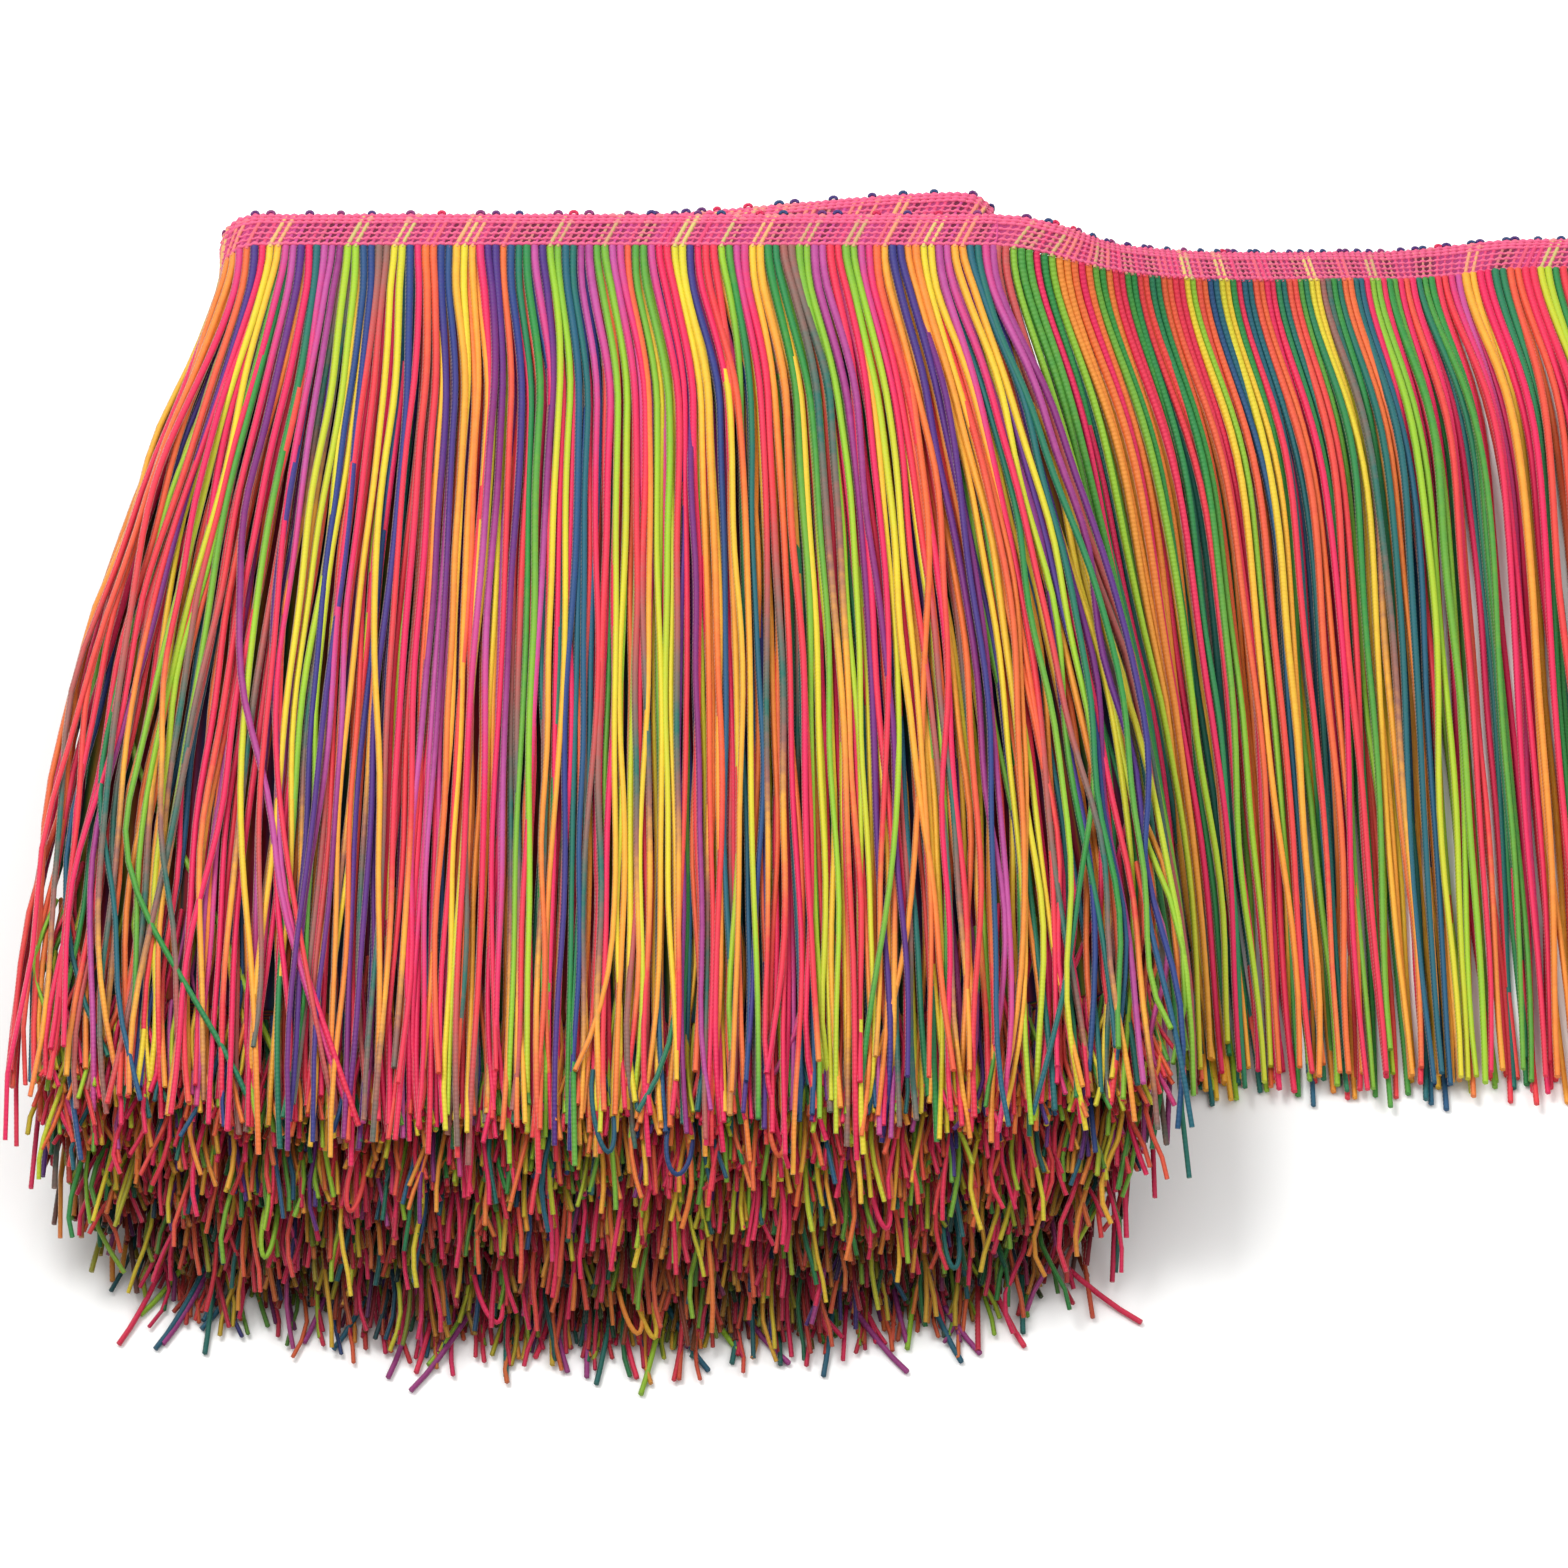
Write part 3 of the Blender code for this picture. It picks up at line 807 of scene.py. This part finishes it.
def wound_paths(chosen, steps, end_only, seed):
    """The paths of the chosen cords of the roll, and the values that the sweep takes."""
    chance = np.random.default_rng(seed)
    across, up = place_across[chosen, None], place_up[chosen, None]
    count = len(across)
    start = -(root_y(root_xz[chosen, 1]) + root_slip[chosen])[:, None]
    tier = np.mod(tier_share(across, up) + chance.normal(0, 0.07, (count, 1)), 1.0)
    jutting = np.exp(-tier / 0.24)
    end = end_depth(across, up) + chance.normal(0, 2.6 * MM, (count, 1))
    end += (jutting - 0.36) * TIER_STEP
    end += np.where(chance.random((count, 1)) < 0.05, chance.uniform(1, 8, (count, 1)), 0) * MM
    if end_only is not None:
        start = end - end_only * chance.uniform(0.85, 1.15, (count, 1))
    at = np.linspace(0, 1, steps)[None, :]
    at = 0.55 * at**1.7 + 0.45 * at if end_only is None else at**0.8
    depth = start + (end - start) * at
    lagging = np.sqrt(depth * depth + LAG * LAG) - LAG
    share = np.clip(depth / CORD_LENGTH, 0, 1)
    turning, raised = straying(chance, across, layer[chosen], share)
    x = wound_xz(np.clip(across + turning, -1, 1), up, lagging)[0]
    z = wound_xz(np.clip(across + turning, -1, 1), up, depth)[1] + raised
    root_off = root_xz[chosen].T[:, :, None] - np.stack(wound_xz(across, up, 0 * across))
    unsettled = 1 - smooth_step(depth / (90 * MM))
    x = x + root_off[0] * unsettled
    z = z + root_off[1] * unsettled

    bow = np.interp(across, BOW_PLACES, BOW_AMOUNTS)
    x = x + bow * 1.35 * smooth_step(depth / (48 * MM)) * np.exp(-depth / 0.15)
    locks = lock_offsets(chance, count, 1.0 * MM)[:, None]
    near_waves = 0.8 * MM * np.sin(across * 41 + 2.0) * np.exp(-depth / 0.05)
    x = x + near_waves * smooth_step(depth / (15 * MM))
    x = x + locks * smooth_step(depth / (50 * MM)) * (0.7 + 1.7 * share)
    loose_side = 1 + 2.2 * np.abs(across) ** 5
    waves = 4 if end_only is None else 1
    x = x + slow_noise(chance, depth.shape, waves) * share**0.8 * loose_side * 1.15 * MM
    rim = np.abs(wound_xz(np.sign(across), up, lagging)[0]) + 1.2 * MM
    x = np.where(np.abs(x) > rim, np.sign(x) * (rim + 0.25 * (np.abs(x) - rim)), x)
    lift = chance.uniform(-0.5, 1.0, (count, 1)) * MM
    z = z + lift * smooth_step(depth / (40 * MM))

    tip = np.clip((depth - (end - TIP_LENGTH)) / TIP_LENGTH, 0, 1)
    side_swing = chance.normal(0, 1.5, (count, 1)) * MM
    wild = chance.random((count, 1)) < 0.07
    side_swing = np.where(wild, side_swing * 3.6, side_swing)
    x = x + side_swing * tip**2.1
    droop = (0.2 + jutting) * TIER_DROP * chance.uniform(0.6, 1.2, (count, 1))
    z = z - droop * tip**1.7
    y = -depth + np.abs(side_swing) * 0.4 * tip**2 + droop * 0.30 * tip**3
    z = np.maximum(z, CORD_RADIUS * 1.02 + 0.4 * MM)
    width = chance.uniform(0.90, 1.10, (count, 1)) * (1.22 - 0.45 * share**0.7)
    # Painted shade: cords low in the stack, and those set back behind the jutting tips, are
    # darkened; their tips a little less.
    shaded = np.clip((1 - up) * 1.3, 0, 1) ** 1.05 * (1 - 0.18 * tip)
    painted_shade = shaded * (1.24 - 0.74 * jutting) * chance.uniform(0.85, 1.1, (count, 1))
    painted_shade = np.clip(painted_shade, 0, 1)
    if end_only is not None:
        width = width * 0.84
    values = {"loose": share, "width": width, "painted_shade": painted_shade}
    return np.stack([x, y, z], axis=-1), depth - start, values


wound_dye_start, wound_dye_way = dye_starts(len(root_xz), 41, ROLL_DYE, (0.25, 1.10), 0.24)

# %% The outer layers, cord by cord
OUTER_LAYERS = 4
whole_top = np.flatnonzero(on_top & (layer < OUTER_LAYERS))
whole_side = np.flatnonzero(on_side & (layer < 2))
whole_under = np.flatnonzero(underneath & (layer == 0))[::2]
wound_pieces = []
for name, chosen, steps, seed in (
    ("top_cords", whole_top, 34, 7),
    ("side_cords", whole_side, 22, 8),
    ("under_cords", whole_under, 10, 9),
):
    points, distance, values = wound_paths(chosen, steps, None, seed)
    dye = dye_along(wound_dye_start[chosen], wound_dye_way[chosen], distance)
    wound_pieces.append(sweep_cords(name, points, dye, cord_finish, **values))

# %% The cut ends of the inner layers
inner = np.ones(len(root_xz), dtype=bool)
inner[np.concatenate([whole_top, whole_side, whole_under])] = False
inner = np.flatnonzero(inner)
lower = inner[place_up[inner] < 0.45]
upper = inner[place_up[inner] >= 0.45]
END_LENGTH = 56 * MM
for name, chosen, seed in (("lower_ends", lower, 17), ("upper_ends", upper, 18)):
    points, distance, values = wound_paths(chosen, 9, END_LENGTH, seed)
    starts, ways = dye_starts(len(chosen), seed, END_DYE, (0.2, 0.7), 0.5)
    dye = dye_along(starts, ways, distance)
    wound_pieces.append(sweep_cords(name, points, dye, end_finish, **values, sides=4))

# %% [markdown]
# ## Loops and stray ends
#
# Among the cut ends some cords were never cut through and hang as small loops, and a few lie
# further out over the table.

# %% Uncut loops and stray ends at the front


def on_front(across, up, out, lift):
    """A point on the wall of cut ends, pushed out towards the front and up."""
    reach = end_depth(across, up)
    x, z = wound_xz(across, up, reach)
    return x, -reach - out, z + lift


# Where loops hang: across, up, half width and length in millimetres, tilt, dye.
LOOPS = [
    (-0.04, 0.86, 3.4, 11, 0.3, 0.45),
    (0.14, 0.78, 4.4, 9, -0.2, 0.50),
    (0.33, 0.84, 3.0, 12, 0.1, 0.12),
    (0.01, 0.16, 3.6, 12, 0.5, 0.17),
    (0.04, 0.14, 2.6, 11, 0.7, 0.22),
    (-0.33, 0.20, 4.0, 10, 0.6, 0.03),
    (-0.52, 0.62, 2.4, 8, -0.4, 0.08),
    (0.55, 0.55, 2.8, 9, 0.4, 0.02),
    (-0.70, 0.40, 2.2, 9, -0.3, 0.31),
    (0.72, 0.35, 2.6, 8, 0.2, 0.42),
]


def uncut_loops():
    across, up, wide, tall, tilt, dye = np.array(LOOPS).T[:, :, None]
    wide, tall = wide * MM, tall * MM
    turn = np.linspace(0, 1, 17)[None, :]
    x, y, z = on_front(across, up, 2.0 * MM, 0.5 * MM)
    swing = np.cos(math.pi * turn)
    hang = np.sin(math.pi * turn)
    x = x - swing * wide * (0.35 + 0.65 * hang**0.6) + tilt * hang * tall * 0.7
    y = y + tall * 1.7 * (1 - hang) - 1.0 * MM * hang
    z = z + tall * 0.35 * (1 - hang) ** 0.7 + 1.0 * MM * swing - 2.0 * MM
    z = np.maximum(z, CORD_RADIUS * 1.05)
    return np.stack([x, y, z], axis=-1), dye + 0.03 * turn


def stray_ends(seed, count):
    """Ends that lie out on the table in front of the roll."""
    chance = np.random.default_rng(seed)
    at = np.linspace(0, 1, 9)[None, :]
    across = chance.uniform(-0.95, 0.95, (count, 1))
    x, y, z = on_front(across, np.full_like(across, 0.02), -24 * MM, 2 * MM)
    reach = chance.uniform(26, 37, (count, 1)) * MM
    lean = chance.normal(0, 0.25, (count, 1)) + 0.35 * across
    x = x + lean * reach * at**1.5
    y = y - reach * at
    z = np.maximum(z + 3 * MM * (1 - at) - 3 * MM * at, CORD_RADIUS * 1.05)
    dye = chance.choice([0.03, 0.40, 0.09, 0.30, 0.44, 0.62], (count, 1)) + 0.03 * at
    return np.stack([x, y, z], axis=-1), dye


# The last number of each sweep below is painted shade that darkens these cords.
points, dye = uncut_loops()
wound_pieces.append(sweep_cords("uncut_loops", points, dye, end_finish, 0.5, 0.70, 0.25))
points, dye = stray_ends(92, 34)
wound_pieces.append(sweep_cords("stray_ends", points, dye, end_finish, 0.5, 0.80, 0.30))

# %% [markdown]
# ## The packed middle
#
# Behind the outer layers the cords lie packed and in the dark. A plain shell of the same fan,
# a few millimetres inside, closes what would be a hollow. It has the dye's streaks as well,
# darkened to a quarter with painted shade.

# %% The packed middle


def closed_grid(name, rings, values, finish):
    """A closed skin over rings of points, with a fan of faces at each end."""
    count, around = rings.shape[:2]
    verts = rings.reshape(-1, 3) + np.array(ORIGIN)
    faces = []
    for ring in range(count - 1):
        for i in range(around):
            j = (i + 1) % around
            low, high = ring * around, (ring + 1) * around
            faces.append((low + i, low + j, high + j, high + i))
    faces.append(tuple(range(around))[::-1])
    faces.append(tuple((count - 1) * around + i for i in range(around)))
    mesh = bpy.data.meshes.new(name)
    mesh.from_pydata(verts.tolist(), [], faces)
    store_values(mesh, values, (count, around))
    mesh.materials.append(finish)
    mesh.shade_smooth()
    print(f"{name}: {len(faces)} faces")
    return in_scene(name, mesh)


def packed_middle():
    chance = np.random.default_rng(4)
    level, rise = np.linspace(-1, 1, 90), np.linspace(0.06, 0.94, 12)
    across = np.concatenate([level, np.ones(12), level[::-1], -np.ones(12)]) * 0.955
    up = 0.055 + np.concatenate([np.zeros(90), rise, np.ones(90), rise[::-1]]) * 0.845
    ridge = chance.uniform(-0.7, 0.7, len(across)) * MM
    rings, dye = [], []
    for share in np.linspace(0.0, 1.0, 14):
        root = -root_y(up * ROLL_HEIGHT) + 1 * MM
        depth = root + (end_depth(across, up) - 30 * MM - root) * share
        x, z = wound_xz(across, up, depth)
        rings.append(np.stack([x, -depth, z + ridge * share], axis=-1))
        dye.append(chance.random(len(across)) * 0.02 + np.arange(len(across)) * 0.37 + share)
    rings, dye = np.array(rings), np.array(dye)
    return closed_grid("packed_middle", rings, {"dye": dye, "along": 0}, inside_painted_shade_finish)


wound_pieces.append(packed_middle())

# %% [markdown]
# ## The loose cords
#
# Two cords hang from each stitch of the loose heading, one over the other. They leave it
# square, bow to the right as they sink to the table, and then run straight to the front.

# %% The loose cords


def loose_paths(level, steps, seed):
    chance = np.random.default_rng(seed)
    count = len(tail_distance)
    edge = tail_edge(tail_distance)
    drift = TAIL_DRIFT + TAIL_DRIFT_AT_ROLL * np.exp(-tail_distance / (36 * MM))
    end_x = edge[:, 0] + drift + chance.normal(0, 0.8, count) * MM
    end_y = -TAIL_REACH + chance.normal(0, 3.2, count) * MM
    fall = 0.7 + 4.7 * (1 - np.exp(-tail_distance / (30 * MM)))
    at = np.linspace(0, 1, steps)[None, :] ** 1.45
    y = edge[:, 1:2] + (end_y[:, None] - edge[:, 1:2]) * at
    beside = np.exp(-tail_distance / (26 * MM))[:, None]
    depth = edge[:, 1:2] - y
    quick = fanned(np.sqrt(depth * depth + LAG * LAG) - LAG) / fanned(TAIL_REACH - LAG)
    bowed = 0.66 * (1 - np.exp(-((at / 0.13) ** 1.7))) + 0.34 * at
    opened = quick * beside + bowed * (1 - beside)
    x = edge[:, 0:1] + (end_x[:, None] - edge[:, 0:1]) * opened
    top = edge[:, 2:3] - 0.8 * MM - level * 1.1 * MM
    z = top * (1 - at) ** fall[:, None]
    storey = (np.arange(count) * 2 % 3)[:, None] + chance.uniform(-0.15, 0.15, (count, 1))
    rest = CORD_RADIUS * (1.1 + 1.9 * (storey + 1) * (1 - level))
    z = z + rest * smooth_step(at * 3.5)
    locks = lock_offsets(chance, count, 1.0 * MM)[:, None]
    x = x + locks * smooth_step(at * 3) * (0.8 - 0.3 * level)
    x = x + slow_noise(chance, x.shape) * at * 1.3 * MM
    x = x + level * 0.9 * MM
    near_roll = np.exp(-tail_distance / (14 * MM))[:, None]
    x = x - 4.2 * MM * near_roll * np.sin(math.pi * np.clip(at / 0.5, 0, 1))
    width = chance.uniform(0.90, 1.10, (count, 1)) * (1.22 - 0.36 * at)
    width = width * (1 - 0.5 * level * (1 - smooth_step(at * 5)))
    z = np.maximum(z, CORD_RADIUS * 1.02 * width + (0.4 - 0.35 * level) * MM)
    points = np.stack([x, y, z], axis=-1)
    # Painted shade: the under cords are darkened near the heading, where the over cords shade
    # them.
    return points, at * CORD_LENGTH, {"loose": at, "width": width, "painted_shade": 0.22 * level * (1 - at)}


tail_starts, tail_ways = dye_starts(len(tail_distance), 302, LOOSE_DYE, (0.05, 0.42), 0.42)
loose_pieces = []
for name, level, seed in (("loose_cords_over", 0, 51), ("loose_cords_under", 1, 52)):
    points, distance, values = loose_paths(level, 30, seed)
    dye = dye_along(tail_starts + 0.03 * level, tail_ways, distance)
    loose_pieces.append(sweep_cords(name, points, dye, cord_finish, **values))

# %% [markdown]
# ## The heading
#
# The heading is knitted lengthwise: seven rows of pink chain stitch cross every cord and lock
# it in place. Between them the cords show through, and so does the ground, as slots that are
# dark where the cords are dark: there the ground's colour is darkened, partly for the dark
# cords and partly as painted shade in the slots. The ground is a flat tape, and the rest is
# swept as yarn.
# A place on the tape is given by `back`, from its front edge towards its back edge, and by
# `over`, out of its face.

# %% Places on the tape


def is_pale(shade):
    """Whether a place on the dyed yarn, 0 to 1, is orange, yellow, lime or pale pink."""
    return ((shade > 0.12) & (shade < 0.36)) | (shade > 0.90)


ROWS_BACK = np.array([0.45, 2.15, 3.80, 5.45, 7.20, 8.20, 9.15]) * MM
ROW_RADIUS = np.array([0.54, 0.42, 0.42, 0.42, 0.56, 0.60, 0.62]) * MM
SLANT = 0.42
LOOSE_SLANT = 0.40


def on_wound_tape(stitches, back, over):
    """Points on the wound tape. stitches counts cords, and may lie between two of them."""
    number = np.clip(np.floor(stitches).astype(int), 0, len(root_xz) - 2)
    part = (stitches - number)[..., None]
    middle = root_xz[number] + (root_xz[number + 1] - root_xz[number]) * part
    out = outward_xz[number] + (outward_xz[number + 1] - outward_xz[number]) * part
    middle = middle + out * np.asarray(over)[..., None]
    back = back + np.interp(stitches, np.arange(len(root_slip)), root_slip)
    lifted = np.maximum(middle[..., 1], 0.65 * MM)
    return np.stack([middle[..., 0], root_y(middle[..., 1]) + back, lifted], axis=-1)


tail_step = tail_distance[1] - tail_distance[0]
tail_numbers = np.arange(-1, len(tail_distance) + 1)
tail_ends = tail_distance[0] - tail_step, tail_distance[-1] + tail_step
tail_reaches = np.concatenate([tail_ends[:1], tail_distance, tail_ends[1:]])


def on_loose_tape(stitches, back, over):
    distance = np.interp(stitches, tail_numbers, tail_reaches)
    along, forward, above = tail_directions(distance)
    base = tail_edge(distance) - above * TAPE_THICKNESS
    return base - forward * np.asarray(back)[..., None] + above * np.asarray(over)[..., None]


def tape(name, place, count, starts, slant):
    """A flat tape with round edges. Where the cords above it are dark it is darker: partly their
    colour, partly painted shade in the slots.
    """
    half = TAPE_THICKNESS / 2
    rim = 0.35 * MM
    far = HEADING_WIDTH - rim
    outline = [(0, 0), (rim, half), (far, half), (HEADING_WIDTH, 0), (far, -half), (rim, -half)]
    stitches = np.concatenate([[-0.5], np.arange(count), [count - 0.5]])
    leaning = slant * np.clip((outer_count - stitches) / 20, 0, 1) / CORD_PITCH
    leaning[[0, -1]] = 0
    sides = []
    for back, over in outline:
        here = np.clip(stitches - leaning * back, -0.5, count - 0.5)
        sides.append(place(here, back, over))
    cord = np.clip(np.round(stitches).astype(int), 0, count - 1)
    shade = np.mod(starts[cord], 1.0)
    # Partly painted shade: the ground is darkened a lot under dark cords and only lightly under
    # pale ones.
    dark = np.select([(shade > 0.36) & (shade < 0.68), is_pale(shade)], [0.9, 0.05], 0.35)
    values = {"dye": 0, "along": stitches[:, None] * CORD_PITCH, "painted_shade": dark[:, None]}
    return closed_grid(name, np.stack(sides, axis=1), values, ground_finish)


# %% Chains, and the cords in the tape


def chains(name, place, count, starts, slant):
    """The pink chains. Each dips between two cords, rises over each, and takes up its dye."""
    chance = np.random.default_rng(5)
    stitches = np.linspace(-0.5, count - 0.5, count * 4 + 1)
    paths, dyes, widths = [], [], []
    for row, back in enumerate(ROWS_BACK):
        here = stitches + slant * back / CORD_PITCH
        rise = 0.10 * MM * np.cos(2 * math.pi * here)
        drift = np.interp(stitches, np.arange(count), chance.normal(0, 0.06, count)) * MM
        wave = 0.08 * MM * np.sin(2 * math.pi * here + row)
        paths.append(place(stitches, back + drift + wave, TAPE_THICKNESS / 2 + rise - 0.04 * MM))
        cord = np.clip(np.round(here).astype(int), 0, count - 1)
        dyes.append(np.where(chance.random(count)[cord] < 0.7, 0.01, starts[cord]))
        widths.append(ROW_RADIUS[row] / MM * (1 + 0.20 * np.cos(2 * math.pi * here)))
    paths, dyes, widths = np.stack(paths), np.stack(dyes), np.stack(widths)
    return sweep_cords(name, paths, dyes, chain_finish, width=widths, radius=1 * MM)


def cords_in_tape(name, place, count, starts, slant):
    """The short stretch of every cord that lies in the tape, front to back."""
    chance = np.random.default_rng(8)
    back = np.linspace(-0.8 * MM, HEADING_WIDTH - 0.6 * MM, 9)[None, :]
    stitches = np.arange(count)[:, None] - slant * np.maximum(back, 0) / CORD_PITCH
    stitches = np.clip(stitches, -0.5, count - 0.5)
    shade = np.mod(starts[:count, None], 1.0)
    pale = is_pale(shade)
    over = TAPE_THICKNESS / 2 + np.where(pale, 0.06, -0.20) * MM
    points = place(stitches, back, over)
    dye = starts[:count, None]
    width = chance.uniform(0.85, 1.15, (count, 1)) * np.where(pale, 1.0, 0.9)
    return sweep_cords(name, points, dye, tape_cord_finish, width=width, radius=0.52 * MM)


def nubs(name, place, stitches, seed):
    """Small loops that stand up from the back edge, where the dyed yarn turns round."""
    chance = np.random.default_rng(seed)
    turn = np.linspace(0, math.pi, 6)[None, :]
    middle = np.asarray(stitches, dtype=float)[:, None]
    size = chance.uniform(0.8, 1.15, middle.shape)
    points = place(
        middle + np.cos(turn) * 0.42 * size,
        HEADING_WIDTH - 0.1 * MM + np.sin(turn) * 0.65 * MM * size,
        TAPE_THICKNESS / 2 + 0.25 * MM + np.sin(turn) * 0.15 * MM,
    )
    dye = chance.choice([0.55, 0.60, 0.57, 0.51, 0.64, 0.02], len(middle))[:, None]
    # A little painted shade darkens the nubs.
    return sweep_cords(name, points, dye, cord_finish, painted_shade=0.2, radius=0.45 * MM)


def inner_edges():
    """The back edge chain of every turn, which is what the roll shows from behind."""
    stitches = np.arange(outer_count - 1, len(root_xz) - 1, 0.5)
    bumps = np.where(np.arange(len(stitches)) % 2 == 0, 0.0, 0.35) * MM
    points = on_wound_tape(stitches, HEADING_WIDTH - 0.3 * MM + bumps, 0.0)[None]
    dye = wound_dye_start[np.round(stitches).astype(int)][None]
    # Painted shade darkens the back edges of the turns a little.
    return sweep_cords(
        "wound_turn_edges", points, dye, chain_finish, painted_shade=0.15, radius=0.58 * MM, sides=4
    )


outer_count = int(round(SECOND_TURN / CORD_PITCH)) + 62
tail_count = len(tail_distance)
chance = np.random.default_rng(77)
wound_nubs = np.cumsum(chance.integers(2, 6, 140))
wound_nubs = wound_nubs[wound_nubs < outer_count - 2]
tail_nubs = np.cumsum(chance.integers(1, 4, 60))
tail_nubs = tail_nubs[tail_nubs < tail_count - 2]
heading_pieces = [
    tape("wound_tape", on_wound_tape, len(root_xz), wound_dye_start, SLANT),
    inner_edges(),
    chains("wound_chains", on_wound_tape, outer_count, wound_dye_start, SLANT),
    cords_in_tape("wound_tape_cords", on_wound_tape, outer_count, wound_dye_start, SLANT),
    nubs("wound_nubs", on_wound_tape, wound_nubs, 6),
]
tail_heading_pieces = [
    tape("loose_tape", on_loose_tape, tail_count, tail_starts, -LOOSE_SLANT),
    chains("loose_chains", on_loose_tape, tail_count, tail_starts, -LOOSE_SLANT),
    cords_in_tape("loose_tape_cords", on_loose_tape, tail_count, tail_starts, -LOOSE_SLANT),
    nubs("loose_nubs", on_loose_tape, tail_nubs, 7),
]

# %% Attach the pieces to the root, and hide the frame's parts
for pieces, slot, node in (
    (wound_pieces, "fringe_yarn", "wound_fringe"),
    (loose_pieces, "fringe_yarn", "loose_fringe"),
    (heading_pieces, "heading_yarn", "wound_heading"),
    (tail_heading_pieces, "heading_yarn", "loose_heading"),
):
    for piece in pieces:
        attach(piece, "root")
        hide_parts(node)
